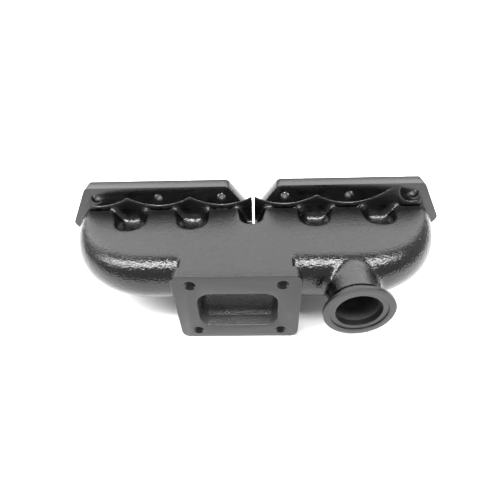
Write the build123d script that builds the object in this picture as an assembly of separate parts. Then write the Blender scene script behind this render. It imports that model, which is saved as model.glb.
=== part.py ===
# Cast log-style turbo exhaust manifold for a six-cylinder engine with one long cylinder head.
# Units are millimetres. Origin: centre of the head flange's mating face, at the height of
# the port centres. +X runs along the engine, +Y points into the cylinder head, +Z is up.
# The casting is divided at its natural section lines, and each section is one solid that
# meets its neighbours face to face.
from build123d import *
import math
import os

# Head flange
PORT_PITCH = 65.0
PORT_COUNT = 6
PORT_R = 16.0
FLANGE_T = 13.5
FLANGE_HALF_H = 42.5
FLANGE_TOP_HALF_L = 170.5
FLANGE_TIP_X = 196.0
FLANGE_CORNER_R = 6.0
STUD_Z = 30.0
STUD_HOLE_R = 4.5
NOTCH_TOP_HALF_W = 25.5
NOTCH_DEPTH = 26.5
NOTCH_BOTTOM_HALF_W = 6.6
SLOT_W = 2.5

# Runners and the flat top that joins them
TOP_Z = 18.5
RUNNER_R = 20.5
PASSAGE_R = 15.5
WEB_HALF_T = 3.0
RELIEF_LENGTH = 5.0
UPPER_RELIEF_R = 14.3
LOWER_RELIEF_R = 12.0
# each pocket between two runners: (middle at the flange, half width there,
# middle of its round bottom, radius of the bottom, deepest Y)
POCKETS = (
    (-129.0, 24.0, -122.5, 17.0, -55.5),
    (-65.0, 22.0, -60.5, 17.0, -53.7),
    (-1.5, 17.0, -2.0, 13.0, -46.0),
    (65.0, 22.0, 60.5, 17.0, -51.0),
    (129.0, 24.0, 125.5, 17.0, -50.5),
)

# Log (the plenum across the front) and its end bends
LOG_R = 24.5
LOG_BORE_R = 18.5
LOG_Y = -83.0
LOG_Z = TOP_Z - LOG_R
FLAT_EDGE = 2.5
BEND_SECTIONS = 7
BEND_BLEND = 0.6

# Collector and turbo flange
COLLECTOR_X = (-64.5, 34.5)
COLLECTOR_LOW_Z = -61.0
COLLECTOR_BACK_Y = -75.0
COLLECTOR_TOE = 7.0
COLLECTOR_CORNER_R = 12.0
COLLECTOR_OVERLAP = 2.0
TURBO_X = -14.5
TURBO_W = 113.0
TURBO_H = 85.5
TURBO_T = 11.5
TURBO_FACE_Y = -115.0
TURBO_CORNER_R = 8.5
TURBO_BOLT_X = 79.4
TURBO_BOLT_Z = 63.5
TURBO_HOLE_R = 4.25
OPENING_W = 72.5
OPENING_H = 45.0
OPENING_R = 13.0
OPENING_DROP = 2.0
THROAT_H = 34.0
THROAT_R = 12.0

# Wastegate branch
GATE_X = 88.0
GATE_Z = -7.0
GATE_BORE_R = 19.5
GATE_PASSAGE_R = 19.0
GATE_NECK_R = 23.0
GATE_FLANGE_R = 30.0
GATE_FLANGE_T = 6.5
GATE_RIM_T = 3.2
GATE_REGISTER_R = 24.2
GATE_REGISTER_DEPTH = 1.2
GATE_FACE_Y = -133.5

# Where one section ends and the next begins
RUNNER_END_Y = -58.0
NECK_START_Y = -109.0
FAR = 400.0

PORT_XS = [(i - (PORT_COUNT - 1) / 2) * PORT_PITCH for i in range(PORT_COUNT)]
END_X = PORT_XS[-1]
BEND_R = -FLANGE_T - LOG_Y
BEND_X = END_X - BEND_R
TURBO_Z = TOP_Z - TURBO_H / 2
TURBO_BACK_Y = TURBO_FACE_Y + TURBO_T


def along_y(sketch, y_start, y_end):
    """Extrude a sketch drawn in X and Z from y_start forward (towards -Y) to y_end."""
    plane = Plane((0, y_start, 0), x_dir=(1, 0, 0), z_dir=(0, -1, 0))
    return extrude(plane * sketch, amount=y_start - y_end)


def along_x(sketch, x_start, x_end):
    """Extrude a sketch drawn in Y and Z from x_start to x_end."""
    plane = Plane((x_start, 0, 0), x_dir=(0, 1, 0), z_dir=(1, 0, 0))
    return extrude(plane * sketch, amount=x_end - x_start)


def block(x_range, y_range, z_range=(-FAR, FAR)):
    """A box given by its limits."""
    spans = (x_range, y_range, z_range)
    size = [high - low for low, high in spans]
    middle = [(high + low) / 2 for low, high in spans]
    return Pos(*middle) * Box(*size)


def both_sides(solid):
    """A solid together with its mirror image on the other side of the engine's middle."""
    return solid + mirror(solid, about=Plane.YZ)


def head_flange_outline():
    """Long six-sided plate with a V notch in the middle of both long edges."""
    corners = [
        (-FLANGE_TIP_X, 0),
        (-FLANGE_TOP_HALF_L, -FLANGE_HALF_H),
        (FLANGE_TOP_HALF_L, -FLANGE_HALF_H),
        (FLANGE_TIP_X, 0),
        (FLANGE_TOP_HALF_L, FLANGE_HALF_H),
        (-FLANGE_TOP_HALF_L, FLANGE_HALF_H),
    ]
    plate = Polygon(*corners, align=None)
    plate = fillet(plate.vertices(), FLANGE_CORNER_R)
    notch = Polygon(
        (-NOTCH_TOP_HALF_W, FLANGE_HALF_H),
        (-NOTCH_BOTTOM_HALF_W, FLANGE_HALF_H - NOTCH_DEPTH),
        (NOTCH_BOTTOM_HALF_W, FLANGE_HALF_H - NOTCH_DEPTH),
        (NOTCH_TOP_HALF_W, FLANGE_HALF_H),
        align=None,
    )
    return plate - notch - mirror(notch, about=Plane.XZ)


def head_flange(side):
    """One half of the head flange, with three ports and six stud holes."""
    plate = along_y(head_flange_outline(), 0, -FLANGE_T)
    inner, outer = sorted((side * SLOT_W / 2, side * FAR))
    half = plate & block((inner, outer), (-FLANGE_T, 0))
    tops = half.edges().filter_by(Axis.Y).filter_by(
        lambda e: abs(abs(e.center().X) - NOTCH_TOP_HALF_W) < 1
        and abs(abs(e.center().Z) - FLANGE_HALF_H) < 1
    )
    half = fillet(tops, FLANGE_CORNER_R)
    for x in PORT_XS:
        if x * side > 0:
            half -= along_y(Pos(x, 0) * Circle(PORT_R), 0, -FLANGE_T)
            for z in (-STUD_Z, STUD_Z):
                half -= along_y(Pos(x, z) * Circle(STUD_HOLE_R), 0, -FLANGE_T)
    return half


def flat_top():
    """The flat web under the top plane, with a round-bottomed pocket between runners."""
    front = LOG_Y - FLAT_EDGE
    depth = -FLANGE_T - front
    sheet = Pos(0, front + depth / 2) * Rectangle(2 * BEND_X, depth)
    ends = Circle(BEND_R + FLAT_EDGE) & Pos(FAR / 2, -FAR / 2) * Rectangle(FAR, FAR)
    ends = Pos(BEND_X, -FLANGE_T) * ends
    sheet += ends + mirror(ends, about=Plane.YZ)
    for middle, half_w, bottom_x, radius, deepest in POCKETS:
        centre_y = deepest + radius
        funnel = Polygon(
            (middle - half_w, -FLANGE_T),
            (bottom_x - radius, centre_y),
            (bottom_x + radius, centre_y),
            (middle + half_w, -FLANGE_T),
            align=None,
        )
        sheet -= funnel + Pos(bottom_x, centre_y) * Circle(radius)
    return Pos(0, 0, LOG_Z) * extrude(sheet, amount=TOP_Z - LOG_Z)


def parting_web():
    """The thin web on the parting plane that joins the three runners of each half."""
    width = (PORT_COUNT / 2 - 1) * PORT_PITCH
    across = (PORT_XS[3], PORT_XS[3] + width)
    web = block(across, (RUNNER_END_Y, -FLANGE_T), (-WEB_HALF_T, WEB_HALF_T))
    return both_sides(web)


def end_sweep(start_r, log_r):
    """The quarter bend from an end port round to the log, widening and dropping on its way."""
    sections = []
    for i in range(BEND_SECTIONS):
        share = i / (BEND_SECTIONS - 1)
        angle = math.radians(90 * share)
        out = Vector(math.cos(angle), -math.sin(angle), 0)
        blend = math.sin(math.pi / 2 * min(1.0, share / BEND_BLEND)) ** 2
        centre = Vector(BEND_X, -FLANGE_T, LOG_Z * blend) + out * BEND_R
        along = Vector(-math.sin(angle), -math.cos(angle), 0)
        plane = Plane(centre, x_dir=out, z_dir=along)
        sections.append(plane * Circle(start_r + (log_r - start_r) * blend))
    return loft(sections)


def collector_outside():
    """The block that widens the log downwards to the turbo flange."""
    side = Polygon(
        (COLLECTOR_BACK_Y, TOP_Z),
        (TURBO_BACK_Y, TOP_Z),
        (TURBO_BACK_Y, COLLECTOR_LOW_Z),
        (TURBO_BACK_Y + COLLECTOR_TOE, COLLECTOR_LOW_Z),
        (COLLECTOR_BACK_Y, LOG_Z - LOG_R + COLLECTOR_OVERLAP),
        align=None,
    )
    solid = along_x(side, *COLLECTOR_X)
    low = solid.edges().filter_by(
        lambda e: e.center().Z < LOG_Z - LOG_R and abs(e.center().X - TURBO_X) > TURBO_W / 3
    )
    return fillet(low.filter_by(lambda e: e.center().Y > TURBO_BACK_Y + 1), COLLECTOR_CORNER_R)


def turbo_passage():
    """The throat from the log to the rounded opening in the turbo flange."""
    inner = Plane((TURBO_X, LOG_Y, LOG_Z), x_dir=(1, 0, 0), z_dir=(0, -1, 0))
    outer_z = TURBO_Z - OPENING_DROP
    outer = Plane((TURBO_X, TURBO_FACE_Y, outer_z), x_dir=(1, 0, 0), z_dir=(0, -1, 0))
    return loft([
        inner * RectangleRounded(OPENING_W, THROAT_H, THROAT_R),
        outer * RectangleRounded(OPENING_W, OPENING_H, OPENING_R),
    ])


def gas_passages():
    """Everything that is open inside the manifold."""
    space = along_x(Pos(LOG_Y, LOG_Z) * Circle(LOG_BORE_R), -BEND_X, BEND_X)
    space += both_sides(end_sweep(PASSAGE_R, LOG_BORE_R))
    for x in PORT_XS[1:-1]:
        space += along_y(Pos(x, 0) * Circle(PASSAGE_R), -FLANGE_T, LOG_Y)
    space += along_y(Pos(GATE_X, GATE_Z) * Circle(GATE_PASSAGE_R), LOG_Y, GATE_FACE_Y)
    return space + turbo_passage()


def turbo_flange_plate():
    """The turbo flange's blank."""
    outline = Pos(TURBO_X, TURBO_Z) * RectangleRounded(TURBO_W, TURBO_H, TURBO_CORNER_R)
    return along_y(outline, TURBO_BACK_Y, TURBO_FACE_Y)


def turbo_flange(space):
    """Turbo flange with its opening and four tapped holes."""
    plate = turbo_flange_plate() - space
    for x in (-TURBO_BOLT_X / 2, TURBO_BOLT_X / 2):
        for z in (-TURBO_BOLT_Z / 2, TURBO_BOLT_Z / 2):
            hole = Pos(TURBO_X + x, TURBO_Z + z) * Circle(TURBO_HOLE_R)
            plate -= along_y(hole, TURBO_BACK_Y, TURBO_FACE_Y)
    return plate


def wastegate_flange():
    """V-band flange: flat face with a shallow register, conical back."""
    back = GATE_FACE_Y + GATE_FLANGE_T
    profile = Polygon(
        (GATE_BORE_R, GATE_FACE_Y + GATE_REGISTER_DEPTH),
        (GATE_REGISTER_R, GATE_FACE_Y + GATE_REGISTER_DEPTH),
        (GATE_REGISTER_R, GATE_FACE_Y),
        (GATE_FLANGE_R, GATE_FACE_Y),
        (GATE_FLANGE_R, GATE_FACE_Y + GATE_RIM_T),
        (GATE_NECK_R, back),
        (GATE_BORE_R, back),
        align=None,
    )
    ring = revolve(profile, Axis.Y, 360)
    return Pos(GATE_X, 0, GATE_Z) * ring


def casting_outside():
    """The whole casting's outer form in front of the head flange, not yet hollow."""
    form = along_x(Pos(LOG_Y, LOG_Z) * Circle(LOG_R), -BEND_X, BEND_X)
    form += both_sides(end_sweep(RUNNER_R, LOG_R))
    for x in PORT_XS[1:-1]:
        form += along_y(Pos(x, 0) * Circle(RUNNER_R), -FLANGE_T, LOG_Y)
    form += flat_top() + parting_web() + collector_outside()
    neck_end = GATE_FACE_Y + GATE_FLANGE_T
    form += along_y(Pos(GATE_X, GATE_Z) * Circle(GATE_NECK_R), LOG_Y, neck_end)
    form &= block((-FAR, FAR), (-FAR, -FLANGE_T), (-FAR, TOP_Z))
    for x in PORT_XS:
        for z, radius in ((STUD_Z, UPPER_RELIEF_R), (-STUD_Z, LOWER_RELIEF_R)):
            relief = Pos(x, z) * Circle(radius)
            form -= along_y(relief, -FLANGE_T, -FLANGE_T - RELIEF_LENGTH)
    return form


def section_boxes():
    """Name and cutting box of every section of the casting."""
    edges = [-FAR] + [x + PORT_PITCH / 2 for x in PORT_XS[:-1]] + [FAR]
    left, right = edges[1], edges[-2]
    boxes = {}
    for i in range(1, PORT_COUNT - 1):
        boxes[f"runner_{i + 1}"] = block((edges[i], edges[i + 1]), (RUNNER_END_Y, 0))
    boxes["runner_1"] = block((-FAR, left), (-FAR, 0))
    boxes["runner_6"] = block((right, FAR), (-FAR, 0))
    boxes["log_left"] = block((left, COLLECTOR_X[0]), (-FAR, RUNNER_END_Y))
    boxes["log_middle"] = block(COLLECTOR_X, (COLLECTOR_BACK_Y, RUNNER_END_Y))
    boxes["log_right"] = block((COLLECTOR_X[1], right), (NECK_START_Y, RUNNER_END_Y))
    boxes["collector"] = block(COLLECTOR_X, (-FAR, COLLECTOR_BACK_Y))
    boxes["wastegate_neck"] = block((COLLECTOR_X[1], right), (-FAR, NECK_START_Y))
    return boxes


def build_nodes():
    """All solids by node name."""
    space = gas_passages()
    casting = casting_outside() - turbo_flange_plate() - space
    nodes = {name: casting & box for name, box in section_boxes().items()}
    nodes["head_flange_left"] = head_flange(-1)
    nodes["head_flange_right"] = head_flange(1)
    nodes["turbo_flange"] = turbo_flange(space)
    nodes["wastegate_flange"] = wastegate_flange()
    return nodes


os.makedirs("parts", exist_ok=True)
for name, solid in build_nodes().items():
    export_step(solid, f"parts/{name}.step")
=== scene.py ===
"""Looks of a cast log-style turbo exhaust manifold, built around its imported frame.

The casting is one cored iron part, coated in gloss black over its foundry skin and shown here in
the sections that the frame names. Its flanges are milled: the two halves of the head flange, the
turbo flange with four threaded holes, and the V-band flange of the wastegate branch.
Meshes are shaped in millimetres and scaled to the frame's metres when a piece is finished.
"""
import logging
import math
from dataclasses import dataclass, field
from enum import Enum
from typing import Iterable, Sequence

import bmesh
import bpy
from mathutils import Matrix, Vector


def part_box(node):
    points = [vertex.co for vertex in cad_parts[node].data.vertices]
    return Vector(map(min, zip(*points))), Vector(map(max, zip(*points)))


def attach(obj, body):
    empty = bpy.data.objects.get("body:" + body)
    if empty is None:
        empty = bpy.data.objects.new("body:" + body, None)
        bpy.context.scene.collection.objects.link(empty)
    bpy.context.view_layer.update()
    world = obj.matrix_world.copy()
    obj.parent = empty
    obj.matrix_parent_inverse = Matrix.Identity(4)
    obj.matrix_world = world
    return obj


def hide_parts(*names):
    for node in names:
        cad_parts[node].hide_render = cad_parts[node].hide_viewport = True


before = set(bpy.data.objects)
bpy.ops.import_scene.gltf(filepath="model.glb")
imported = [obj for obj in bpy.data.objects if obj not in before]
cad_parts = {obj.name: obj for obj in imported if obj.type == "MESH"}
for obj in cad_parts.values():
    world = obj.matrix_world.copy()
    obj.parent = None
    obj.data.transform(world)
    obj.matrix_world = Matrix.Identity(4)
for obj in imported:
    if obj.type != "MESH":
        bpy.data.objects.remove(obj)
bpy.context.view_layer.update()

LOG = logging.getLogger("manifold")
BODY = "root"
METRES = 0.001  # one millimetre in metres
ROUND = 96  # sides of a cylinder
WELD = 0.0001  # points closer than this are made one
NEAR = 0.001  # how closely points share a plane or a thread's seam
HARD_TURN = math.radians(50.0)  # edges that turn more than this are rounded
LOOKING = 0.9  # cosine above which a face looks the way that is asked for
FORWARD = Vector((0, -1, 0))  # the way that the turbo flange faces


class Axis(Enum):
    """The direction that a cylinder runs along."""

    X = "x"
    Y = "y"


class Cut(Enum):
    """What a boolean step leaves of a solid."""

    KEEP_COMMON = "INTERSECT"
    TAKE_AWAY = "DIFFERENCE"


AXIS_TURN = {
    Axis.X: Matrix.Rotation(math.pi / 2, 4, "Y"),
    Axis.Y: Matrix.Rotation(-math.pi / 2, 4, "X"),
}


# ---------------------------------------------------------------------------------------------
# Mesh helpers
# ---------------------------------------------------------------------------------------------
def node_box(name: str) -> tuple[Vector, Vector]:
    """Lowest and highest corner of a frame node in millimetres."""
    low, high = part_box(name)
    return low / METRES, high / METRES


def add_cylinder(bm: bmesh.types.BMesh, axis: Axis, start: Vector, length: float, radius: float,
                 end_radius: float | None = None, segments: int = ROUND) -> list[bmesh.types.BMVert]:
    """Add a closed cylinder or cone.

    Args:
        bm: Mesh that receives it.
        axis: Direction it runs along, towards the positive side.
        start: Centre of its first end.
        length: Distance between its ends.
        radius: Radius at the first end.
        end_radius: Radius at the far end, if it tapers.
        segments: Number of sides.

    Returns:
        The new vertices.
    """
    turn = AXIS_TURN[axis]
    middle = start + turn @ Vector((0, 0, length / 2))
    made = bmesh.ops.create_cone(
        bm, cap_ends=True, cap_tris=False, segments=segments, radius1=radius,
        radius2=radius if end_radius is None else end_radius, depth=length,
        matrix=Matrix.Translation(middle) @ turn)
    return made["verts"]


def add_block(bm: bmesh.types.BMesh, low: Vector, high: Vector) -> None:
    """Add a closed box.

    Args:
        bm: Mesh that receives it.
        low: Lowest corner.
        high: Highest corner.
    """
    size = high - low
    place = Matrix.Translation((low + high) / 2) @ Matrix.Diagonal((*size, 1.0))
    bmesh.ops.create_cube(bm, size=1.0, matrix=place)


def add_tube(bm: bmesh.types.BMesh, stations: Sequence[Matrix], segments: int = ROUND) -> None:
    """Add a closed tube through a row of round stations.

    Args:
        bm: Mesh that receives it.
        stations: Placement of every ring, whose scale is its radius and local Y its direction.
        segments: Number of sides.
    """
    ring = bmesh.ops.create_circle(bm, cap_ends=True, radius=1.0, segments=segments,
                                   matrix=stations[0] @ AXIS_TURN[Axis.Y])["verts"]
    edges = list({e for v in ring for e in v.link_edges})
    for last, here in zip(stations, stations[1:]):
        made = bmesh.ops.extrude_edge_only(bm, edges=edges)["geom"]
        ring = [g for g in made if isinstance(g, bmesh.types.BMVert)]
        edges = [g for g in made if isinstance(g, bmesh.types.BMEdge)]
        bmesh.ops.transform(bm, matrix=here @ last.inverted(), verts=ring)
    rim = set(ring)
    bmesh.ops.contextual_create(bm, geom=[e for e in edges if rim.issuperset(e.verts)])


def add_lathe(bm: bmesh.types.BMesh, centre: Vector, profile: Sequence[tuple[float, float]],
              rounds: Iterable[tuple[int, float]] = (), segments: int = 128) -> None:
    """Add a ring turned about an axis along Y.

    Args:
        bm: Mesh that receives it.
        centre: A point on the axis.
        profile: Corners of the ring's section as radius and Y.
        rounds: Pairs of corner number and its radius.
        segments: Steps around.
    """
    corners = [Vector((centre.x + r, y, centre.z)) for r, y in profile]
    face = add_outline(bm, corners, rounds, segments=3)
    edges = list(face.edges)
    geom = list(face.verts) + edges
    bmesh.ops.delete(bm, geom=[face], context="FACES_ONLY")
    bmesh.ops.spin(bm, geom=geom, cent=centre, axis=(0, 1, 0), angle=2 * math.pi,
                   steps=segments, use_merge=True)


def add_outline(bm: bmesh.types.BMesh, corners: Sequence[Vector],
                rounds: Iterable[tuple[int, float]] = (), segments: int = 12) -> bmesh.types.BMFace:
    """Add a flat face whose named corners are rounded off.

    Args:
        bm: Mesh that receives the face.
        corners: Corner points in order.
        rounds: Pairs of corner number and its radius.
        segments: Steps in each rounded corner.

    Returns:
        The finished face.
    """
    verts = [bm.verts.new(c) for c in corners]
    bm.faces.new(verts)
    for index, radius in rounds:
        before = corners[index] - corners[index - 1]
        after = corners[(index + 1) % len(corners)] - corners[index]
        reach = radius * math.tan(before.angle(after) / 2)
        bmesh.ops.bevel(bm, geom=[verts[index]], offset=reach, offset_type="OFFSET",
                        segments=segments, profile=0.5, affect="VERTICES", material=-1)
    bm.faces.ensure_lookup_table()
    return bm.faces[-1]


def extrude_face(bm: bmesh.types.BMesh, face: bmesh.types.BMFace, way: Vector,
                 taper: Matrix | None = None) -> list[bmesh.types.BMVert]:
    """Pull a face out into a closed solid.

    Args:
        bm: Mesh that holds the face.
        face: Face to extrude; it stays as the solid's first end.
        way: Direction and length.
        taper: Transform for the far end, applied after the move.

    Returns:
        Vertices of the far end.
    """
    made = bmesh.ops.extrude_face_region(bm, geom=[face], use_keep_orig=True)
    far = [v for v in made["geom"] if isinstance(v, bmesh.types.BMVert)]
    bmesh.ops.translate(bm, vec=way, verts=far)
    if taper is not None:
        bmesh.ops.transform(bm, matrix=taper, verts=far)
    return far


def placed(name: str, bm: bmesh.types.BMesh) -> bpy.types.Object:
    """Write a bmesh, as it is, to a new object in the scene.

    Args:
        name: Object name.
        bm: Mesh to write; it is freed.

    Returns:
        The linked object.
    """
    mesh = bpy.data.meshes.new(name)
    bm.to_mesh(mesh)
    bm.free()
    obj = bpy.data.objects.new(name, mesh)
    bpy.context.scene.collection.objects.link(obj)
    return obj


def stray_object(name: str, bm: bmesh.types.BMesh) -> bpy.types.Object:
    """Turn a bmesh into a working object with merged points and outward faces.

    Args:
        name: Object name.
        bm: Mesh to write; it is freed.

    Returns:
        The linked object.
    """
    bmesh.ops.remove_doubles(bm, verts=bm.verts, dist=WELD)
    bmesh.ops.recalc_face_normals(bm, faces=bm.faces)
    return placed(name, bm)


def rounded_block(name: str, centre: Vector, width: float, height: float, radius: float,
                  y_low: float, y_high: float) -> bpy.types.Object:
    """A block along Y whose long edges are rounded.

    Args:
        name: Object name.
        centre: Its middle in X and Z.
        width: Size along X.
        height: Size along Z.
        radius: Radius of its long edges.
        y_low: Front end.
        y_high: Back end.

    Returns:
        The working object.
    """
    bm = bmesh.new()
    corners = [Vector((centre.x + sx * width / 2, y_low, centre.z + sz * height / 2))
               for sx, sz in ((-1, -1), (1, -1), (1, 1), (-1, 1))]
    face = add_outline(bm, corners, [(i, radius) for i in range(4)])
    extrude_face(bm, face, Vector((0, y_high - y_low, 0)))
    return stray_object(name, bm)


def discard(*objects: bpy.types.Object) -> None:
    """Delete working objects and their meshes.

    Args:
        objects: Objects to delete.
    """
    for obj in objects:
        mesh = obj.data
        bpy.data.objects.remove(obj)
        bpy.data.meshes.remove(mesh)


def join(name: str, *objects: bpy.types.Object) -> bpy.types.Object:
    """Gather several working objects' shells in one new object.

    Args:
        name: Name of the new object.
        objects: Objects to gather; they are deleted.

    Returns:
        The joined object.
    """
    bm = bmesh.new()
    for obj in objects:
        bm.from_mesh(obj.data)
    discard(*objects)
    return placed(name, bm)


def settle(obj: bpy.types.Object) -> bpy.types.Object:
    """Apply all modifiers of a working object to its mesh.

    Args:
        obj: Working object.

    Returns:
        The same object.
    """
    depsgraph = bpy.context.evaluated_depsgraph_get()
    mesh = bpy.data.meshes.new_from_object(obj.evaluated_get(depsgraph), depsgraph=depsgraph)
    old = obj.data
    obj.modifiers.clear()
    obj.data = mesh
    bpy.data.meshes.remove(old)
    return obj


def remesh(obj: bpy.types.Object, voxel: float) -> None:
    """Add a voxel remesh, which merges all overlapping shells into one skin.

    Args:
        obj: Working object.
        voxel: Size of a voxel.
    """
    step = obj.modifiers.new("Remesh", "REMESH")
    step.mode = "VOXEL"
    step.voxel_size = voxel
    step.adaptivity = 0.0


def swell(obj: bpy.types.Object, distance: float) -> None:
    """Add a displacement of the whole skin along its normals.

    Args:
        obj: Working object.
        distance: How far the skin moves out, or in if it is negative.
    """
    step = obj.modifiers.new("Swell", "DISPLACE")
    step.direction = "NORMAL"
    step.mid_level = 0.0
    step.strength = distance


def smooth(obj: bpy.types.Object, passes: int) -> None:
    """Add smoothing, which rounds edges off a little.

    Args:
        obj: Working object.
        passes: How many times it is smoothed.
    """
    step = obj.modifiers.new("Smooth", "SMOOTH")
    step.factor = 0.5
    step.iterations = passes


def fill_corners(obj: bpy.types.Object, radius: float, voxel: float) -> None:
    """Add the steps that leave a fillet in every inside corner.

    Args:
        obj: Working object.
        radius: Radius of the fillet.
        voxel: Size of a voxel.
    """
    swell(obj, radius)
    remesh(obj, voxel)
    swell(obj, -radius)
    remesh(obj, voxel)


def paint(obj: bpy.types.Object, index: int,
          facing: Vector | None = None) -> bpy.types.Object:
    """Set the material index of all faces, or of those that face one way.

    Args:
        obj: Object whose faces are set.
        index: Place in the piece's list of finishes.
        facing: Direction that the faces look in.

    Returns:
        The same object.
    """
    for face in obj.data.polygons:
        if facing is None or face.normal.dot(facing) > LOOKING:
            face.material_index = index
    return obj


def round_front_edges(obj: bpy.types.Object, front: float, width: float) -> None:
    """Round the sharp edges that lie in one plane across Y.

    Args:
        obj: Working object.
        front: The plane's place along Y.
        width: Size of the rounding.
    """
    bm = bmesh.new()
    bm.from_mesh(obj.data)
    edges = [e for e in bm.edges if all(abs(v.co.y - front) < NEAR for v in e.verts)
             and e.calc_face_angle(0.0) > HARD_TURN]
    bmesh.ops.bevel(bm, geom=edges, offset=width, offset_type="OFFSET", segments=3,
                    profile=0.5, affect="EDGES", material=-1)
    bm.to_mesh(obj.data)
    bm.free()


def combine(obj: bpy.types.Object, other: bpy.types.Object, cut: Cut) -> None:
    """Add a boolean step against another working object.

    Args:
        obj: Working object that is changed.
        other: The solid it is compared with.
        cut: What stays.
    """
    step = obj.modifiers.new("Boolean", "BOOLEAN")
    step.operation = cut.value
    step.object = other
    step.solver = "MANIFOLD"


def take_away(obj: bpy.types.Object, *cutters: bpy.types.Object) -> None:
    """Cut solids out of a working object.

    Args:
        obj: Working object that is cut.
        cutters: Solids to take away; they are deleted.
    """
    for cutter in cutters:
        combine(obj, cutter, Cut.TAKE_AWAY)
    settle(obj)
    discard(*cutters)


def finish_piece(name: str, obj: bpy.types.Object, nodes: Sequence[str],
                 finishes: Sequence[bpy.types.Material], sharp: float) -> bpy.types.Object:
    """Make a shaped working object a piece of the manifold.

    Args:
        name: Name of the piece.
        obj: The shaped object, in millimetres.
        nodes: Frame nodes that the piece stands for.
        finishes: Materials, one for each material index on its faces.
        sharp: Angle in degrees above which an edge stays sharp.

    Returns:
        The piece.
    """
    obj.name = name
    obj.data.name = name
    obj.data.transform(Matrix.Scale(METRES, 4))
    painted = [face.material_index for face in obj.data.polygons]
    obj.data.materials.clear()
    for finish in finishes:
        obj.data.materials.append(finish)
    obj.data.polygons.foreach_set("material_index", painted)
    obj.data.shade_smooth()
    obj.data.set_sharp_from_angle(angle=math.radians(sharp))
    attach(obj, BODY)
    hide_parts(*nodes)
    LOG.info("%s: %d faces", name, len(obj.data.polygons))
    return obj


# ---------------------------------------------------------------------------------------------
# Node helpers
# ---------------------------------------------------------------------------------------------
def map_range(tree: bpy.types.NodeTree, value: bpy.types.NodeSocket,
              limits: dict[str, float]) -> bpy.types.Node:
    """Add a Map Range node.

    Args:
        tree: Node tree that receives it.
        value: Socket that drives it.
        limits: Values of its inputs, by name.

    Returns:
        The node.
    """
    node = tree.nodes.new("ShaderNodeMapRange")
    for name, limit in limits.items():
        node.inputs[name].default_value = limit
    tree.links.new(value, node.inputs["Value"])
    return node


def noise(tree: bpy.types.NodeTree, place: bpy.types.NodeSocket, size: float,
          detail: float) -> bpy.types.NodeSocket:
    """Add a noise pattern.

    Args:
        tree: Node tree that receives it.
        place: Coordinates that it reads.
        size: Size of its blotches in metres.
        detail: Level of detail.

    Returns:
        The pattern's socket.
    """
    node = tree.nodes.new("ShaderNodeTexNoise")
    node.inputs["Scale"].default_value = 1.0 / size
    node.inputs["Detail"].default_value = detail
    tree.links.new(place, node.inputs["Vector"])
    return node.outputs["Fac"]


def bump(tree: bpy.types.NodeTree, height: bpy.types.NodeSocket, depth: float,
         before: bpy.types.NodeSocket | None = None) -> bpy.types.NodeSocket:
    """Add a bump.

    Args:
        tree: Node tree that receives it.
        height: Pattern that it follows.
        depth: Its depth in metres.
        before: Normal that it starts from.

    Returns:
        The bumped normal's socket.
    """
    node = tree.nodes.new("ShaderNodeBump")
    node.inputs["Distance"].default_value = depth
    node.inputs["Strength"].default_value = 1.0
    tree.links.new(height, node.inputs["Height"])
    if before is not None:
        tree.links.new(before, node.inputs["Normal"])
    return node.outputs["Normal"]


def maths(tree: bpy.types.NodeTree, operation: str, first: bpy.types.NodeSocket,
          second: bpy.types.NodeSocket | float) -> bpy.types.NodeSocket:
    """Add a Math node.

    Args:
        tree: Node tree that receives it.
        operation: What it works out.
        first: First value.
        second: Second value, as a socket or a number.

    Returns:
        The result's socket.
    """
    node = tree.nodes.new("ShaderNodeMath")
    node.operation = operation
    tree.links.new(first, node.inputs[0])
    if isinstance(second, float):
        node.inputs[1].default_value = second
    else:
        tree.links.new(second, node.inputs[1])
    return node.outputs["Value"]


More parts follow.
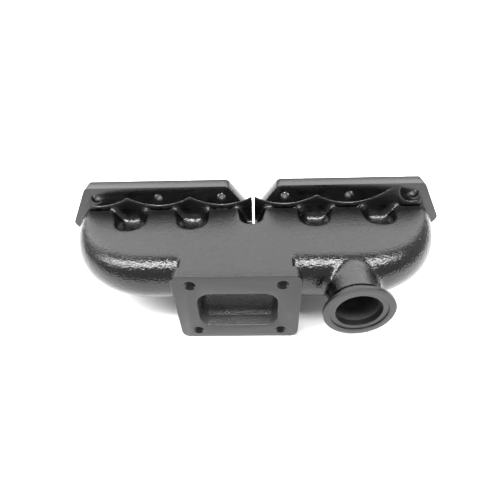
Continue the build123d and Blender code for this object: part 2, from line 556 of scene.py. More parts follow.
# ---------------------------------------------------------------------------------------------
# Finishes
# ---------------------------------------------------------------------------------------------
@dataclass(frozen=True)
class BlackFinish:
    """Black coating over iron, from glossy foundry skin to satin milled faces.

    Sizes and depths of patterns are in metres. Swings reach as far up as down. A pit takes up
    pit_share of its cell, and a finish has none if pit_depth is 0. dull_top is the roughness
    added on the flat top, all of it at the height dull_full and none below dull_start.
    """

    name: str
    base: float
    roughness: float
    roughness_swing: float
    specular: float
    grain_size: float
    grain_depth: float
    ripple_size: float
    ripple_depth: float
    pit_size: float = 0.012
    pit_depth: float = 0.0
    pit_share: float = 0.06
    dull_top: float = 0.0
    dull_start: float = 0.0172
    dull_full: float = 0.0184
    tone_swing: float = 0.4
    mottle_ratio: float = 3.0

    def material(self) -> bpy.types.Material:
        """Build the node material.

        Returns:
            The material.
        """
        mat = bpy.data.materials.new(self.name)
        mat.use_nodes = True
        tree = mat.node_tree
        nodes, links = tree.nodes, tree.links
        shader = nodes["Principled BSDF"]
        shader.inputs["Specular IOR Level"].default_value = self.specular
        place = nodes.new("ShaderNodeTexCoord").outputs["Object"]

        mottle = noise(tree, place, self.ripple_size * self.mottle_ratio, 4.0)
        tone = map_range(tree, mottle, {"To Min": self.base * (1.0 - self.tone_swing),
                                        "To Max": self.base * (1.0 + self.tone_swing)})
        colour = nodes.new("ShaderNodeCombineColor")
        for channel in ("Red", "Green", "Blue"):
            links.new(tone.outputs["Result"], colour.inputs[channel])
        links.new(colour.outputs["Color"], shader.inputs["Base Color"])

        gloss = map_range(tree, mottle, {"To Min": self.roughness - self.roughness_swing,
                                         "To Max": self.roughness + self.roughness_swing})
        split = nodes.new("ShaderNodeSeparateXYZ")
        links.new(place, split.inputs["Vector"])
        dull = map_range(tree, split.outputs["Z"], {"From Min": self.dull_start,
                                                    "From Max": self.dull_full,
                                                    "To Max": self.dull_top})
        links.new(maths(tree, "ADD", gloss.outputs["Result"], dull.outputs["Result"]),
                  shader.inputs["Roughness"])

        normal = bump(tree, noise(tree, place, self.grain_size, 2.0), self.grain_depth)
        normal = bump(tree, noise(tree, place, self.ripple_size, 1.0), self.ripple_depth, normal)
        if self.pit_depth > 0.0:
            cells = nodes.new("ShaderNodeTexVoronoi")
            cells.inputs["Scale"].default_value = 1.0 / self.pit_size
            links.new(place, cells.inputs["Vector"])
            pit = map_range(tree, cells.outputs["Distance"], {"From Max": self.pit_share})
            normal = bump(tree, pit.outputs["Result"], self.pit_depth, normal)
        links.new(normal, shader.inputs["Normal"])
        return mat


@dataclass(frozen=True)
class FloorFinish:
    """Matt white studio floor."""

    albedo: float = 0.86
    roughness: float = 0.9

    def material(self) -> bpy.types.Material:
        """Build the node material.

        Returns:
            The material.
        """
        mat = bpy.data.materials.new("studio_floor")
        mat.use_nodes = True
        shader = mat.node_tree.nodes["Principled BSDF"]
        shader.inputs["Base Color"].default_value = (self.albedo, self.albedo, self.albedo, 1.0)
        shader.inputs["Roughness"].default_value = self.roughness
        shader.inputs["Specular IOR Level"].default_value = 0.0
        return mat


@dataclass
class Finishes:
    """All finishes of the manifold, built once."""

    cast: bpy.types.Material = field(init=False)
    cored: bpy.types.Material = field(init=False)
    milled: bpy.types.Material = field(init=False)
    edge: bpy.types.Material = field(init=False)

    def __post_init__(self) -> None:
        """Build each material."""
        self.cast = BlackFinish(
            name="gloss_black_foundry_skin", base=0.0018, roughness=0.105, roughness_swing=0.025,
            specular=0.5, grain_size=0.0018, grain_depth=0.00042, ripple_size=0.006,
            ripple_depth=0.0001, pit_depth=0.0007, dull_top=0.24).material()
        self.cored = BlackFinish(
            name="black_rough_cored_passage", base=0.028, roughness=0.34, roughness_swing=0.06,
            specular=0.7, grain_size=0.0017, grain_depth=0.0006, ripple_size=0.008,
            ripple_depth=0.0004).material()
        self.milled = BlackFinish(
            name="satin_black_milled_face", base=0.006, roughness=0.30, roughness_swing=0.04,
            specular=0.42, grain_size=0.0004, grain_depth=0.00001, ripple_size=0.02,
            ripple_depth=0.0003).material()
        self.edge = BlackFinish(
            name="black_sawn_flange_edge", base=0.003, roughness=0.22, roughness_swing=0.04,
            specular=0.5, grain_size=0.0010, grain_depth=0.00012, ripple_size=0.004,
            ripple_depth=0.0001).material()


# ---------------------------------------------------------------------------------------------
# Sub-assemblies
# ---------------------------------------------------------------------------------------------
@dataclass(frozen=True)
class Pocket:
    """A round-bottomed pocket in the flat top, between two runners.

    It is as wide as twice half_width at the flange and has its bottom around bottom_x.
    """

    middle: float
    half_width: float
    bottom_x: float
    bottom_radius: float
    deepest: float


@dataclass(frozen=True)
class Opening:
    """The rectangular gas opening of the turbo flange, set lower than the plate's middle."""

    width: float = 72.5
    height: float = 45.0
    radius: float = 13.0
    drop: float = 2.0


@dataclass
class Casting:
    """The cored iron body: six runners, the log with its bends, the collector and the neck.

    Sizes are in millimetres. Rough shapes run on past the faces that are cut later, and boxes
    that cut reach past the casting.
    """

    finishes: Finishes
    opening: Opening = Opening()
    # Runners, log and bends.
    port_pitch: float = 65.0
    top_z: float = 18.5
    runner_radius: float = 20.5
    log_radius: float = 24.5
    log_y: float = -83.0
    bend_steps: int = 30
    bend_blend: float = 0.6
    web_half: float = 3.0
    flat_edge: float = 2.5
    flat_segments: int = 48
    # Walls and fillets.
    wall: float = 6.0
    passage_radius: float = 15.5
    run_on: float = 4.0
    long_run_on: float = 6.0
    voxel: float = 1.0
    coarse_voxel: float = 1.2
    neck_fillet: float = 4.0
    runner_fillet: float = 7.0
    rim_fillet: float = 1.4
    smoothing: int = 4
    cored_index: int = 1
    sharp: float = 40.0
    # Wastegate neck.
    neck_radius: float = 23.0
    gate_passage_radius: float = 19.0
    waist_depth: float = 1.2
    waist_front: float = 1.0
    waist_back: float = 5.5
    waist_outside: float = 40.0
    # Pockets in the flat top.
    pocket_draft: float = 0.42
    pocket_depth: float = 22.0
    pocket_above: float = 3.0
    pocket_behind: float = 2.0
    pocket_roundness: float = 0.98
    pockets: tuple[Pocket, ...] = (
        Pocket(-129.0, 24.0, -122.5, 17.0, -55.5),
        Pocket(-65.0, 22.0, -60.5, 17.0, -53.7),
        Pocket(-1.5, 17.0, -2.0, 13.0, -46.0),
        Pocket(65.0, 22.0, 60.5, 17.0, -51.0),
        Pocket(129.0, 24.0, 125.5, 17.0, -50.5),
    )
    # Pad in front of the head flange, and the milled arcs above it.
    pad: float = 0.9
    pad_half: float = 172.0
    pad_low: float = -38.0
    pad_high: float = 42.0
    fillet_pad_low: float = -36.0
    fillet_pad_high: float = 30.0
    arc_lowest: float = 21.8
    arc_radius: float = 59.0
    end_arc_radius: float = 15.0
    arc_front: float = 3.0
    arc_length: float = 20.0
    arc_segments: int = 160
    # Nut clearances at the stud holes.
    stud_z: float = 30.0
    upper_nut_radius: float = 17.4
    lower_nut_radius: float = 12.5
    nut_depth: float = 4.2
    nut_lift: float = 0.1
    nut_floor_round: float = 1.6
    nut_rim_round: float = 1.2
    nut_axis_gap: float = 0.01
    # Collector and the trough inside it.
    heel: float = 7.0
    heel_lap: float = 2.0
    trough_y: float = -109.0
    trough_floor: float = -48.75
    trough_radius: float = 27.0
    trough_round: float = 11.0
    mouth_front: float = 3.0
    mouth_lap: float = 1.0
    # Cutting boxes.
    slot_width: float = 2.5
    slot_depth: float = 22.0
    slot_behind: float = 9.0
    slot_half_height: float = 60.0
    lid_low: tuple[float, float] = (-250.0, -200.0)
    lid_high: tuple[float, float, float] = (250.0, 50.0, 60.0)
    head_half: tuple[float, float] = (220.0, 90.0)
    head_behind: float = 60.0
    plate_low: tuple[float, float] = (-200.0, -120.0)
    plate_top: float = 60.0
    far: float = 300.0

    def __post_init__(self) -> None:
        """Read the frame's driving places."""
        self.flange_y = node_box("head_flange_left")[0].y
        self.ports = [(i - 2.5) * self.port_pitch for i in range(6)]
        self.end_x = self.ports[-1]
        self.bend_radius = self.flange_y - self.log_y
        self.bend_x = self.end_x - self.bend_radius
        self.pad_y = self.flange_y - self.pad
        self.log_z = self.top_z - self.log_radius
        self.plate = node_box("turbo_flange")
        self.ring = node_box("wastegate_flange")
        self.gate = (self.ring[0] + self.ring[1]) / 2
        self.skin_radii = (self.runner_radius, self.log_radius)
        self.passage_radii = (self.passage_radius, self.log_radius - self.wall)

    def bend_station(self, share: float, side: int, radii: tuple[float, float],
                     past: float = 0.0) -> Matrix:
        """Placement of one ring on a bend.

        Args:
            share: How far round the bend, from 0 at the port to 1 at the log.
            side: -1 for the left bend, 1 for the right one.
            radii: Radius at the port and radius along the log.
            past: How far the ring is moved beyond the flange face.

        Returns:
            The ring's matrix, scaled by its radius.
        """
        angle = math.radians(90.0 * share)
        blend = math.sin(math.pi / 2 * min(1.0, share / self.bend_blend)) ** 2
        centre = Vector((side * (self.bend_x + self.bend_radius * math.cos(angle)),
                         past + self.flange_y - self.bend_radius * math.sin(angle),
                         self.log_z * blend))
        radius = radii[0] + (radii[1] - radii[0]) * blend
        turn = angle if side < 0 else math.pi - angle
        return (Matrix.Translation(centre) @ Matrix.Rotation(turn, 4, "Z")
                @ Matrix.Diagonal((radius, radius, radius, 1.0)))

    def sweep(self, name: str, radii: tuple[float, float], past: float) -> bpy.types.Object:
        """One tube from the first port, round both bends and along the log to the last port.

        Args:
            name: Object name.
            radii: Radius at the ports and radius along the log.
            past: How far both ends run on beyond the flange face.

        Returns:
            A closed working object.
        """
        shares = [i / self.bend_steps for i in range(self.bend_steps + 1)]
        stations = [self.bend_station(0.0, -1, radii, past)]
        stations += [self.bend_station(share, -1, radii) for share in shares]
        stations += [self.bend_station(share, 1, radii) for share in reversed(shares)]
        stations.append(self.bend_station(0.0, 1, radii, past))
        bm = bmesh.new()
        add_tube(bm, stations)
        return stray_object(name, bm)

    def inner_runners(self, bm: bmesh.types.BMesh, radius: float, past: float) -> None:
        """Add a cylinder from the log to the flange for each of the four inner runners.

        Args:
            bm: Mesh that receives them.
            radius: Radius of the cylinders.
            past: How far they run on beyond the flange face.
        """
        reach = self.flange_y - self.log_y
        for x in self.ports[1:-1]:
            add_cylinder(bm, Axis.Y, Vector((x, self.log_y, 0)), reach + past, radius)

    def trunk_form(self) -> bpy.types.Object:
        """Log, bends and wastegate neck, with a fillet where the neck leaves the log.

        Returns:
            The working object.
        """
        bm = bmesh.new()
        neck_end = self.ring[1].y - self.long_run_on
        add_cylinder(bm, Axis.Y, Vector((self.gate.x, neck_end, self.gate.z)),
                     self.log_y - neck_end, self.neck_radius)
        form = join("trunk", self.sweep("sweep", self.skin_radii, self.run_on),
                    stray_object("neck", bm))
        remesh(form, self.voxel)
        fill_corners(form, self.neck_fillet, self.voxel)
        return settle(form)

    def core_form(self) -> bpy.types.Object:
        """Everything under the flat top: trunk, runners and the webs between them.

        Returns:
            The working object.
        """
        bm = bmesh.new()
        self.inner_runners(bm, self.runner_radius, self.run_on)
        web_end = node_box("runner_2")[0].y
        for side in (-1, 1):
            low_x, high_x = sorted((side * self.ports[3], side * self.ports[5]))
            add_block(bm, Vector((low_x, web_end, -self.web_half)),
                      Vector((high_x, self.flange_y + self.run_on, self.web_half)))
        add_block(bm, Vector((-self.pad_half, self.pad_y, self.fillet_pad_low)),
                  Vector((self.pad_half, self.flange_y + 2 * self.run_on, self.fillet_pad_high)))
        form = join("core", self.sweep("log", self.skin_radii, self.run_on),
                    stray_object("core_parts", bm))
        remesh(form, self.coarse_voxel)
        fill_corners(form, self.runner_fillet, self.coarse_voxel)
        form = join("core", settle(form), self.trunk_form())
        remesh(form, self.voxel)
        lid = bmesh.new()
        add_block(lid, Vector((*self.lid_low, self.top_z)), Vector(self.lid_high))
        take_away(form, stray_object("lid_cut", lid))
        return form

    def pocket_cutter(self, pocket: Pocket) -> bpy.types.Object:
        """The drafted, round-bottomed space of one pocket.

        Args:
            pocket: The pocket's sizes.

        Returns:
            The working object.
        """
        bm = bmesh.new()
        back = self.flange_y + self.pocket_behind
        top = self.top_z + self.pocket_above
        radius = pocket.bottom_radius
        turn_y = pocket.deepest + radius
        corners = [Vector((x, y, top)) for x, y in (
            (pocket.middle - pocket.half_width, back),
            (pocket.bottom_x - radius, turn_y),
            (pocket.bottom_x - radius, pocket.deepest),
            (pocket.bottom_x + radius, pocket.deepest),
            (pocket.bottom_x + radius, turn_y),
            (pocket.middle + pocket.half_width, back),
        )]
        rounding = radius * self.pocket_roundness
        face = add_outline(bm, corners, ((2, rounding), (3, rounding)))
        draft = self.pocket_draft
        hinge = Matrix.Translation((pocket.middle, back, 0.0))
        taper = hinge @ Matrix.Diagonal((draft, draft, 1.0, 1.0)) @ hinge.inverted()
        extrude_face(bm, face, Vector((0, 0, -self.pocket_depth)), taper)
        return stray_object("pocket", bm)

    def flat_sheet(self) -> bpy.types.Object:
        """The flat top over the runners and the log, with its pockets.

        Returns:
            The working object.
        """
        bm = bmesh.new()
        back = self.flange_y + self.run_on
        front = self.log_y - self.flat_edge
        side = self.end_x + self.flat_edge
        corners = [Vector((x, y, self.log_z))
                   for x, y in ((-side, back), (-side, front), (side, front), (side, back))]
        reach = self.bend_radius + self.flat_edge
        face = add_outline(bm, corners, ((1, reach), (2, reach)), segments=self.flat_segments)
        extrude_face(bm, face, Vector((0, 0, self.top_z - self.log_z)))
        sheet = stray_object("flat_sheet", bm)
        take_away(sheet, *[self.pocket_cutter(pocket) for pocket in self.pockets])
        return sheet

    def collector_form(self) -> bpy.types.Object:
        """The block under the log that widens it down to the turbo flange.

        Returns:
            The working object.
        """
        low, high = node_box("collector")
        bm = bmesh.new()
        back = self.plate[1].y
        front = back - self.run_on
        corners = [Vector((low.x, y, z)) for y, z in (
            (high.y, self.top_z),
            (front, self.top_z),
            (front, low.z),
            (back + self.heel, low.z),
            (high.y, self.log_z - self.log_radius + self.heel_lap),
        )]
        face = add_outline(bm, corners)
        extrude_face(bm, face, Vector((high.x - low.x, 0, 0)))
        return stray_object("collector_form", bm)

    def pad_form(self) -> bpy.types.Object:
        """The cast pad in front of the head flange, milled away above one arc per stud.

        Returns:
            The working object.
        """
        bm = bmesh.new()
        add_block(bm, Vector((-self.pad_half, self.pad_y, self.pad_low)),
                  Vector((self.pad_half, self.flange_y + self.long_run_on, self.pad_high)))
        pad = stray_object("pad", bm)
        cutters = []
        for x in self.ports:
            radius = self.end_arc_radius if x == self.end_x else self.arc_radius
            arc = bmesh.new()
            start = Vector((x, self.pad_y - self.arc_front, self.arc_lowest + radius))
            add_cylinder(arc, Axis.Y, start, self.arc_length, radius, segments=self.arc_segments)
            cutters.append(stray_object("arc", arc))
        take_away(pad, *cutters)
        return pad

    def skin(self) -> bpy.types.Object:
        """The closed outside of the whole casting, with foundry fillets and rounded rims.

        Returns:
            The working object.
        """
        form = join("skin", self.core_form(), self.flat_sheet(), self.collector_form(),
                    self.pad_form())
        remesh(form, self.voxel)
        fill_corners(form, self.rim_fillet, self.voxel)
        smooth(form, self.smoothing)
        return settle(form)

    def passages(self) -> bpy.types.Object:
        """Everything inside the casting that carries gas, as one solid to take away.

        Returns:
            The working object.
        """
        sweep = self.sweep("passage", self.passage_radii, self.long_run_on)
        bm = bmesh.new()
        self.inner_runners(bm, self.passage_radius, self.long_run_on)
        gate_start = self.ring[0].y - self.run_on
        add_cylinder(bm, Axis.Y, Vector((self.gate.x, gate_start, self.gate.z)),
                     self.log_y - gate_start, self.gate_passage_radius)
        form = join("passages", sweep, stray_object("passage_parts", bm), self.scoop())
        remesh(form, self.coarse_voxel)
        smooth(form, self.smoothing)
        return settle(form)

    def scoop(self) -> bpy.types.Object:
        """The trough that leads from the log down to the turbo opening, with its mouth.

        Returns:
            The working object.
        """
        bm = bmesh.new()
        radius = self.trough_radius
        middle = (self.plate[0].x + self.plate[1].x) / 2
        half = self.opening.width / 2
        start = Vector((middle - half, self.trough_y, self.trough_floor + radius))
        verts = add_cylinder(bm, Axis.X, start, 2 * half, radius, segments=64)
        rims = [e for e in {e for v in verts for e in v.link_edges}
                if abs(e.verts[0].co.x - e.verts[1].co.x) < WELD]
        bmesh.ops.bevel(bm, geom=rims, offset=self.trough_round, offset_type="OFFSET",
                        segments=6, profile=0.5, affect="EDGES", material=-1)
        cut = bmesh.ops.bisect_plane(bm, geom=bm.verts[:] + bm.edges[:] + bm.faces[:],
                                     plane_co=(0, self.trough_y, 0), plane_no=FORWARD,
                                     clear_outer=True)
        bmesh.ops.holes_fill(bm, edges=[e for e in cut["geom_cut"]
                                        if isinstance(e, bmesh.types.BMEdge)])
        height = self.opening.height
        mouth = rounded_block("mouth", Vector((middle, 0, self.trough_floor + height / 2)),
                              self.opening.width, height, self.opening.radius,
                              self.plate[0].y - self.mouth_front, self.trough_y + self.mouth_lap)
        return join("scoop", stray_object("trough", bm), mouth)

    def section_boxes(self) -> dict[str, tuple[Vector, Vector]]:
        """Box of every section, reaching out past the casting on its free sides.

        Returns:
            Lowest and highest corner, by the name of the section's node.
        """
        far = self.far
        boxes: dict[str, tuple[Vector, Vector]] = {}
        run_end = node_box("runner_2")[0].y
        heel = node_box("collector")[1].y
        neck = node_box("wastegate_neck")[1].y
        c_low, c_high = node_box("collector")[0].x, node_box("collector")[1].x
        top = self.flange_y
        edges = [-far] + [x + self.port_pitch / 2 for x in self.ports[:-1]] + [far]
        for i in range(1, 5):
            boxes[f"runner_{i + 1}"] = (Vector((edges[i], run_end, -far)),
                                        Vector((edges[i + 1], top, far)))
        boxes["runner_1"] = (Vector((-far, -far, -far)), Vector((edges[1], top, far)))
        boxes["runner_6"] = (Vector((edges[5], -far, -far)), Vector((far, top, far)))
        boxes["log_left"] = (Vector((edges[1], -far, -far)), Vector((c_low, run_end, far)))
        boxes["log_middle"] = (Vector((c_low, heel, -far)), Vector((c_high, run_end, far)))
        boxes["log_right"] = (Vector((c_high, neck, -far)), Vector((edges[5], run_end, far)))
        boxes["collector"] = (Vector((c_low, -far, -far)), Vector((c_high, heel, far)))
        boxes["wastegate_neck"] = (Vector((c_high, self.ring[1].y, -far)),
                                   Vector((edges[5], neck, far)))
        return boxes

    def relief_cutter(self) -> bpy.types.Object:
        """The nut clearances sunk into the casting in front of the stud holes.

        Returns:
            The working object.
        """
        bm = bmesh.new()
        end = self.pad_y - self.nut_lift
        for x in self.ports:
            for z, radius in ((self.stud_z, self.upper_nut_radius),
                              (-self.stud_z, self.lower_nut_radius)):
                start = Vector((x, self.pad_y - self.nut_depth, z))
                profile = ((self.nut_axis_gap, start.y), (radius, start.y), (radius, end),
                           (self.nut_axis_gap, end))
                add_lathe(bm, start, profile,
                          ((1, self.nut_floor_round), (2, self.nut_rim_round)), segments=64)
        return stray_object("reliefs", bm)

    def slot_cutter(self) -> bpy.types.Object:
        """The expansion slot between the two halves.

        Returns:
            The working object.
        """
        bm = bmesh.new()
        half = self.slot_width / 2
        tall = self.slot_half_height
        add_block(bm, Vector((-half, self.pad_y - self.slot_depth, -tall)),
                  Vector((half, self.flange_y + self.slot_behind, tall)))
        return stray_object("slot", bm)

    def neck_cutter(self) -> bpy.types.Object:
        """The turned waist behind the V-band flange.

        Returns:
            The working object.
        """
        bm = bmesh.new()
        back = self.ring[1].y
        low, high = back - self.waist_front, back + self.waist_back
        waist, outside = self.neck_radius - self.waist_depth, self.waist_outside
        add_lathe(bm, self.gate, ((waist, low), (outside, low), (outside, high), (waist, high)))
        return stray_object("waist", bm)

    def head_cutter(self) -> bpy.types.Object:
        """Everything behind the face that the head flange is joined to.

        Returns:
            The working object.
        """
        bm = bmesh.new()
        side, tall = self.head_half
        add_block(bm, Vector((-side, self.flange_y, -tall)),
                  Vector((side, self.head_behind, tall)))
        return stray_object("head_cut", bm)

    def plate_cutter(self) -> bpy.types.Object:
        """Everything in front of the face that the turbo flange is joined to.

        Returns:
            The working object.
        """
        bm = bmesh.new()
        low, high = self.plate
        add_block(bm, Vector((low.x, *self.plate_low)), Vector((high.x, high.y, self.plate_top)))
        return stray_object("plate_cut", bm)

    def section(self, skin: bpy.types.Object, name: str, low: Vector,
                high: Vector) -> bpy.types.Object:
        """Cut one section out of the whole casting and dress it.

        Args:
            skin: The whole casting; it stays as it is.
            name: The section's node.
            low: Lowest corner of its box.
            high: Highest corner of its box.

        Returns:
            The finished piece.

        Raises:
            RuntimeError: The cut left the whole casting.
        """
        section = bpy.data.objects.new(f"cast_{name}", skin.data.copy())
        bpy.context.scene.collection.objects.link(section)
        box = bmesh.new()
        add_block(box, low, high)
        box_cut = stray_object("section_box", box)
        combine(section, box_cut, Cut.KEEP_COMMON)
        settle(section)
        discard(box_cut)
        if len(section.data.polygons) >= len(skin.data.polygons):
            raise RuntimeError(f"{name} was not divided from the casting")
        return finish_piece(f"cast_{name}", section, [name],
                            [self.finishes.cast, self.finishes.cored], self.sharp)

    def build(self) -> list[bpy.types.Object]:
        """Shape the casting and divide it into its sections.

        Returns:
            The finished pieces.
        """
        skin = self.skin()
        take_away(skin, self.head_cutter(), self.relief_cutter(), self.slot_cutter(),
                  self.neck_cutter(), self.plate_cutter(),
                  paint(self.passages(), self.cored_index))
        pieces = [self.section(skin, name, low, high)
                  for name, (low, high) in self.section_boxes().items()]
        discard(skin)
        return pieces


@dataclass
class HeadFlange:
    """The milled head flange in two halves, with ports and stud holes."""

    finishes: Finishes
    tip_x: float = 196.0
    top_x: float = 170.5
    notch_top: float = 25.5
    notch_bottom: float = 6.6
    notch_depth: float = 26.5
    corner_radius: float = 6.0
    notch_radius: float = 5.0
    port_radius: float = 16.0
    stud_radius: float = 4.5
    stud_z: float = 30.0
    port_pitch: float = 65.0
    edge_round: float = 0.9
    overcut: float = 1.0
    sharp: float = 35.0

    def half(self, side: int) -> bpy.types.Object:
        """Shape one half.

        Args:
            side: -1 for the left half, 1 for the right one.

        Returns:
            The shaped working object.
        """
        low, high = node_box("head_flange_left" if side < 0 else "head_flange_right")
        thickness = high.y - low.y
        slot = abs(low.x if side > 0 else high.x)
        height = high.z
        floor = height - self.notch_depth
        outline = [
            (slot, floor), (self.notch_bottom, floor), (self.notch_top, height),
            (self.top_x, height), (self.tip_x, 0.0), (self.top_x, -height),
            (self.notch_top, -height), (self.notch_bottom, -floor), (slot, -floor),
        ]
        rounds = [(i, self.corner_radius) for i in (2, 3, 4, 5, 6)]
        rounds += [(1, self.notch_radius), (7, self.notch_radius)]
        bm = bmesh.new()
        corners = [Vector((side * x, low.y, z)) for x, z in outline]
        face = add_outline(bm, corners, rounds, segments=10)
        extrude_face(bm, face, Vector((0, thickness, 0)))
        plate = stray_object("head_flange", bm)
        bores = bmesh.new()
        for i in range(3):
            x = side * self.port_pitch * (i + 0.5)
            for z, radius in ((0, self.port_radius), (self.stud_z, self.stud_radius),
                              (-self.stud_z, self.stud_radius)):
                add_cylinder(bores, Axis.Y, Vector((x, low.y - self.overcut, z)),
                             thickness + 2 * self.overcut, radius)
        cutter = stray_object("bores", bores)
        combine(plate, cutter, Cut.TAKE_AWAY)
        bevel = plate.modifiers.new("Edges", "BEVEL")
        bevel.width = self.edge_round
        bevel.segments = 3
        bevel.limit_method = "ANGLE"
        bevel.angle_limit = HARD_TURN
        settle(plate)
        discard(cutter)
        return plate

    def build(self) -> list[bpy.types.Object]:
        """Shape and dress both halves.

        Returns:
            The finished pieces.
        """
        return [finish_piece(f"{name}_plate", self.half(side), [name],
                             [self.finishes.edge], self.sharp)
                for side, name in ((-1, "head_flange_left"), (1, "head_flange_right"))]


@dataclass
class TurboFlange:
    """The four-bolt plate that carries the turbine, with real threads in its holes.

    flank holds the places along one pitch where the thread's crest starts and ends and where its
    root begins.
    """

    finishes: Finishes
    opening: Opening = Opening()
    corner_radius: float = 8.5
    bolt_x: float = 79.4
    bolt_z: float = 63.5
    tap_radius: float = 4.25
    thread_radius: float = 4.95
    pitch: float = 1.5
    flank: tuple[float, float, float] = (0.62, 0.84, 1.46)
    turn_steps: int = 24
    spare_turns: int = 4
    tap_overcut: float = 0.5
    sink_front: float = 0.4
    sink_depth: float = 1.4
    sink_flare: float = 0.7
    edge_round: float = 0.8
    overcut: float = 1.0
    margin: float = 0.1
    sharp: float = 35.0

    def holes(self, centre: Vector) -> list[Vector]:
        """Centres of the four threaded holes around the plate's centre."""
        return [centre + Vector((sx * self.bolt_x / 2, 0, sz * self.bolt_z / 2))
                for sx in (-1, 1) for sz in (-1, 1)]

    def tap(self, place: Vector, y_low: float, y_high: float) -> bpy.types.Object:
        """The threaded space of one hole, as a turned helix with flat ends.

        Args:
            place: Centre of the hole.
            y_low: Front end.
            y_high: Back end.

        Returns:
            The working object.
        """
        bm = bmesh.new()
        turns = int((y_high - y_low) / self.pitch) + self.spare_turns
        start = y_low - self.spare_turns // 2 * self.pitch
        crest_start, crest_end, root = self.flank
        profile = [(self.tap_radius, 0.0), (self.thread_radius, crest_start),
                   (self.thread_radius, crest_end), (self.tap_radius, root),
                   (self.tap_radius, self.pitch)]
        verts = [bm.verts.new((place.x + r, start + y, place.z)) for r, y in profile]
        edges = [bm.edges.new(pair) for pair in zip(verts, verts[1:])]
        bmesh.ops.spin(bm, geom=verts + edges, cent=place, axis=(0, 1, 0),
                       dvec=(0, self.pitch / self.turn_steps, 0), angle=2 * math.pi * turns,
                       steps=turns * self.turn_steps)
        bmesh.ops.remove_doubles(bm, verts=bm.verts, dist=NEAR)
        for y, way in ((y_low, FORWARD), (y_high, -FORWARD)):
            cut = bmesh.ops.bisect_plane(bm, geom=bm.verts[:] + bm.edges[:] + bm.faces[:],
                                         plane_co=(0, y, 0), plane_no=way,
                                         clear_outer=True)["geom_cut"]
            rim = [g for g in cut if isinstance(g, bmesh.types.BMEdge)]
            bmesh.ops.contextual_create(bm, geom=rim)
        return stray_object("tap", bm)

    def sinks(self, centre: Vector, front: float) -> bpy.types.Object:
        """The countersinks at the mouths of the threaded holes.

        Args:
            centre: Centre of the plate.
            front: Place of its front face along Y.

        Returns:
            The working object.
        """
        bm = bmesh.new()
        for place in self.holes(centre):
            mouth = Vector((place.x, front - self.sink_front, place.z))
            add_cylinder(bm, Axis.Y, mouth, self.sink_depth, self.thread_radius + self.sink_flare,
                         self.thread_radius - self.sink_flare, segments=48)
        return stray_object("sinks", bm)

    def build(self) -> list[bpy.types.Object]:
        """Shape and dress the plate.

        Returns:
            The finished piece.
        """
        low, high = node_box("turbo_flange")
        centre = (low + high) / 2
        plate = rounded_block("plate", centre, high.x - low.x, high.z - low.z,
                              self.corner_radius, low.y, high.y)
        hole = centre - Vector((0, 0, self.opening.drop))
        take_away(plate, rounded_block("opening", hole, self.opening.width, self.opening.height,
                                       self.opening.radius, low.y - self.overcut,
                                       high.y + self.overcut))
        round_front_edges(plate, low.y, self.edge_round)
        taps = [self.tap(place, low.y - self.tap_overcut, high.y + self.tap_overcut)
                for place in self.holes(centre)]
        take_away(plate, *taps, self.sinks(centre, low.y))
        milled, cast, cored = range(3)
        paint(plate, cast)
        paint(plate, milled, FORWARD)
        reach = Vector((self.opening.width, 0, self.opening.height)) / 2
        for side in plate.data.polygons:
            off = side.center - hole
            if (abs(side.normal.y) < 0.5 and abs(off.x) < reach.x + self.margin
                    and abs(off.z) < reach.z + self.margin):
                side.material_index = cored
        return [finish_piece("turbo_flange_plate", plate, ["turbo_flange"],
                             [self.finishes.milled, self.finishes.cast, self.finishes.cored],
                             self.sharp)]


@dataclass
class WastegateFlange:
    """The V-band flange: flat face, shallow register and conical back."""

    finishes: Finishes
    bore_radius: float = 19.5
    register_radius: float = 24.2
    register_depth: float = 1.2
    register_round: float = 0.3
    rim_thickness: float = 3.2
    rim_round: float = 0.4
    neck_radius: float = 22.0
    sharp: float = 35.0

    def build(self) -> list[bpy.types.Object]:
        """Turn and dress the ring.

        Returns:
            The finished piece.
        """
        low, high = node_box("wastegate_flange")
        centre = (low + high) / 2
        outer = (high.x - low.x) / 2
        step = low.y + self.register_depth
        profile = ((self.bore_radius, step), (self.register_radius, step),
                   (self.register_radius, low.y), (outer, low.y),
                   (outer, low.y + self.rim_thickness), (self.neck_radius, high.y),
                   (self.bore_radius, high.y))
        bm = bmesh.new()
        add_lathe(bm, centre, profile, ((0, self.rim_round), (2, self.register_round),
                                        (3, self.rim_round), (4, self.rim_round)))
        return [finish_piece("wastegate_flange_ring", stray_object("ring", bm),
                             ["wastegate_flange"],
                             [self.finishes.milled], self.sharp)]


@dataclass(frozen=True)
class Panel:
    """A soft light panel far away, as angles in degrees.

    low and high are measured over the top, from the horizon behind at 0 to the one in front at
    180; left and right are measured sideways from the middle plane. Its edges fade over soft to
    both sides. fill is the share of its strength that reaches matt surfaces.
    """

    name: str
    low: float
    high: float
    left: float
    right: float
    soft: float
    strength: float
    fill: float


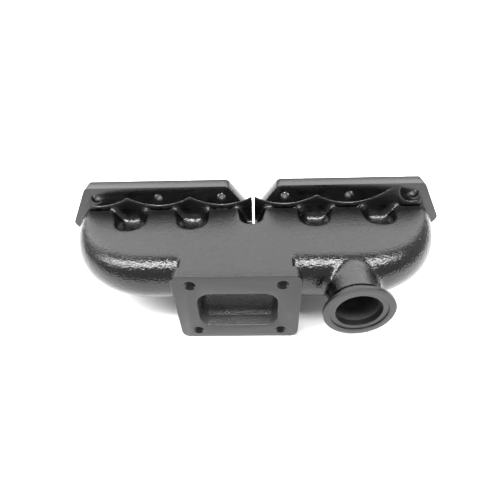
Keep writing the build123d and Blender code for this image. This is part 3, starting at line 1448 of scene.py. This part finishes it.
@dataclass
class Studio:
    """Pale floor, soft light and the camera."""

    camera_place: tuple[float, float, float] = (5.2, -314.4, 227.3)
    pitch: float = 41.95
    yaw: float = 1.95
    roll: float = -2.06
    lens: float = 25.08
    sensor: float = 36.0
    floor_z: float = -67.0
    floor_size: float = 3.0
    room_light: float = 0.75
    backdrop: float = 1.05
    panels: tuple[Panel, ...] = (
        Panel("box_behind", 28.0, 70.0, -56.0, 44.0, 5.0, 3.9, 0.1),
        Panel("strip_overhead", 100.0, 112.0, -58.0, 43.0, 2.5, 30.0, 0.9),
    )

    def camera(self) -> None:
        """Add the camera and make it the scene's."""
        data = bpy.data.cameras.new("camera")
        data.lens = self.lens
        data.sensor_width = self.sensor
        obj = bpy.data.objects.new("camera", data)
        turn = (Matrix.Rotation(math.radians(self.yaw), 4, "Z")
                @ Matrix.Rotation(math.radians(90.0 - self.pitch), 4, "X")
                @ Matrix.Rotation(math.radians(self.roll), 4, "Z"))
        obj.matrix_world = Matrix.Translation(Vector(self.camera_place) * METRES) @ turn
        bpy.context.scene.collection.objects.link(obj)
        bpy.context.scene.camera = obj

    def floor(self) -> None:
        """Add the floor that the manifold stands on."""
        bm = bmesh.new()
        bmesh.ops.create_grid(bm, x_segments=1, y_segments=1, size=self.floor_size,
                              matrix=Matrix.Translation((0, 0, self.floor_z * METRES)))
        obj = placed("floor", bm)
        obj.data.materials.append(FloorFinish().material())

    def panel_light(self, tree: bpy.types.NodeTree, panel: Panel, over: bpy.types.NodeSocket,
                    across: bpy.types.NodeSocket,
                    matt: bpy.types.NodeSocket) -> bpy.types.NodeSocket:
        """Add the nodes of one light panel.

        Args:
            tree: The world's node tree.
            panel: The panel.
            over: Angle over the top of the direction looked in.
            across: Sine of its angle sideways.
            matt: 1 where the light reaches a matt surface, 0 elsewhere.

        Returns:
            The panel's light.
        """
        soft = math.radians(panel.soft)

        def fade(source: bpy.types.NodeSocket, edge: float, way: int) -> bpy.types.NodeSocket:
            """Rise from 0 to 1 across one edge of the panel.

            Args:
                source: What the edge is measured on.
                edge: Place of the edge.
                way: 1 if it rises upwards, -1 if it rises downwards.

            Returns:
                The risen value's socket.
            """
            node = map_range(tree, source, {"From Min": edge - way * soft,
                                            "From Max": edge + way * soft})
            node.interpolation_type = "SMOOTHSTEP"
            return node.outputs["Result"]

        up = maths(tree, "MULTIPLY", fade(over, math.radians(panel.low), 1),
                   fade(over, math.radians(panel.high), -1))
        wide = maths(tree, "MULTIPLY", fade(across, math.sin(math.radians(panel.left)), 1),
                     fade(across, math.sin(math.radians(panel.right)), -1))
        share = map_range(tree, matt, {"To Min": panel.strength,
                                       "To Max": panel.strength * panel.fill})
        share.label = panel.name
        return maths(tree, "MULTIPLY", maths(tree, "MULTIPLY", up, wide),
                     share.outputs["Result"])

    def world(self) -> None:
        """Light everything from a dim room with a wide box behind and a strip overhead."""
        world = bpy.data.worlds.new("studio")
        bpy.context.scene.world = world
        world.use_nodes = True
        tree = world.node_tree
        nodes, links = tree.nodes, tree.links
        nodes.clear()
        out = nodes.new("ShaderNodeOutputWorld")
        place = nodes.new("ShaderNodeTexCoord")
        split = nodes.new("ShaderNodeSeparateXYZ")
        links.new(place.outputs["Generated"], split.inputs["Vector"])
        over = maths(tree, "ARCTAN2", split.outputs["Z"], split.outputs["Y"])
        path = nodes.new("ShaderNodeLightPath")
        total = None
        for panel in self.panels:
            light = self.panel_light(tree, panel, over, split.outputs["X"],
                                     path.outputs["Is Diffuse Ray"])
            total = light if total is None else maths(tree, "ADD", total, light)
        total = maths(tree, "ADD", total, self.room_light)
        lit = nodes.new("ShaderNodeBackground")
        links.new(total, lit.inputs["Color"])
        plain = nodes.new("ShaderNodeBackground")
        plain.inputs["Color"].default_value = (1.0, 1.0, 1.0, 1.0)
        plain.inputs["Strength"].default_value = self.backdrop
        mix = nodes.new("ShaderNodeMixShader")
        links.new(path.outputs["Is Camera Ray"], mix.inputs["Fac"])
        links.new(lit.outputs["Background"], mix.inputs[1])
        links.new(plain.outputs["Background"], mix.inputs[2])
        links.new(mix.outputs["Shader"], out.inputs["Surface"])

    def build(self) -> None:
        """Set up the whole studio."""
        bpy.context.scene.view_settings.view_transform = "Standard"
        self.camera()
        self.floor()
        self.world()


def main() -> None:
    """Build the manifold and its studio."""
    logging.basicConfig(level=logging.INFO, format="%(name)s %(message)s")
    finishes = Finishes()
    Studio().build()
    for assembly in (Casting, HeadFlange, TurboFlange, WastegateFlange):
        for piece in assembly(finishes).build():
            LOG.info("%s is in place", piece.name)


if __name__ == "__main__":
    main()
